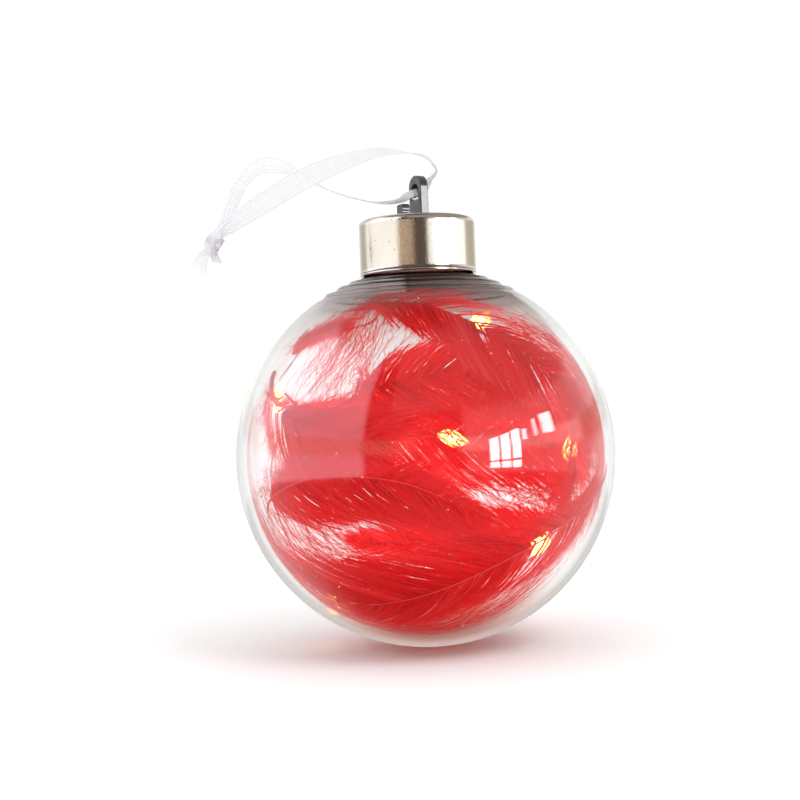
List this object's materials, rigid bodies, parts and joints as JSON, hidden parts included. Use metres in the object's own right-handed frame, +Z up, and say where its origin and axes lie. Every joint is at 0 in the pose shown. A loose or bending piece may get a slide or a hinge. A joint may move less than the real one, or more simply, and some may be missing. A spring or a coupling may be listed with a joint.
{
  "type": "glass ball ornament",
  "caption": "Clear glass ball ornament with curled feathers and a battery light string inside, a plated cap with hanging eye, slide switch and a tied ribbon.",
  "frame": {"origin": "highest point of the hanging eye's hole, where a hook or ribbon pulls", "axes": "+Z up along the ball's axis, -Y towards the front, +X to the right"},
  "size_m": [0.0888, 0.0798, 0.1062],
  "materials": {
    "clear_glass": "clear polished thin glass",
    "plated_cap": "mirror plated, pale champagne",
    "dark_plastic": "satin black moulding",
    "gloss_black": "glossy black moulding",
    "clear_silicone": "translucent",
    "spring_steel": "bright rolled strip",
    "battery_steel": "satin nickel-plated can",
    "board": "green solder mask",
    "brass": "bright",
    "feather_red": "soft dyed feather barbs",
    "quill": "dyed horny quill, slightly shiny",
    "silver_wire": "bright silver-coloured enamelled wire",
    "lamp_epoxy": "clear epoxy drop, lit warm white",
    "lamp_chip": "lit warm white",
    "organza": "sheer white organza with woven edges"
  },
  "bodies": {
    "cap": {"cap_sleeve": "plated_cap", "battery_housing": "dark_plastic", "hanging_eye": "gloss_black", "seal_ring": "clear_silicone", "switch_shell": "spring_steel", "switch_base": "board", "circuit_board": "board", "resistor": "gloss_black", "coin_cell": "battery_steel", "positive_contact": "spring_steel", "negative_contact": "spring_steel", "battery_door": "dark_plastic", "lead_grommet": "clear_silicone"},
    "switch": {"switch_knob": "gloss_black", "switch_wiper": "brass"},
    "ball": {"glass_ball": "clear_glass", "feather_1_vane": "feather_red", "feather_1_quill": "quill", "feather_2_vane": "feather_red", "feather_2_quill": "quill", "feather_3_vane": "feather_red", "feather_3_quill": "quill", "feather_4_vane": "feather_red", "feather_4_quill": "quill", "feather_5_vane": "feather_red", "feather_5_quill": "quill", "feather_6_vane": "feather_red", "feather_6_quill": "quill", "feather_7_vane": "feather_red", "feather_7_quill": "quill", "feather_8_vane": "feather_red", "feather_8_quill": "quill", "feather_9_vane": "feather_red", "feather_9_quill": "quill", "string_wire_1": "silver_wire", "string_wire_2": "silver_wire", "string_wire_3": "silver_wire", "string_wire_4": "silver_wire", "string_wire_5": "silver_wire", "string_wire_6": "silver_wire", "led_drop_1": "lamp_epoxy", "led_drop_2": "lamp_epoxy", "led_drop_3": "lamp_epoxy", "led_drop_4": "lamp_epoxy", "led_drop_5": "lamp_epoxy", "led_drop_6": "lamp_epoxy", "led_chip_1": "lamp_chip", "led_chip_2": "lamp_chip", "led_chip_3": "lamp_chip", "led_chip_4": "lamp_chip", "led_chip_5": "lamp_chip", "led_chip_6": "lamp_chip", "led_lead": "silver_wire"},
    "ribbon": {"ribbon_front": "organza", "ribbon_back": "organza", "ribbon_knot": "organza", "ribbon_tail_1": "organza", "ribbon_tail_2": "organza"}
  },
  "joints": [
    {"name": "ball_pull_off", "type": "slide", "parent": "cap", "child": "ball", "axis": [0, 0, -1], "range_m": [0, 0.012], "deforming": ["led_lead"]},
    {"name": "switch_slide", "type": "slide", "parent": "cap", "child": "switch", "axis": [0.5, -0.866, 0], "range_m": [0, 0.002]},
    {"name": "ribbon_swing", "type": "hinge", "parent": "cap", "child": "ribbon", "pos_m": [0, 0, 0], "axis": [-0.5, 0.866, 0], "range_deg": [-5, 70]}
  ]
}
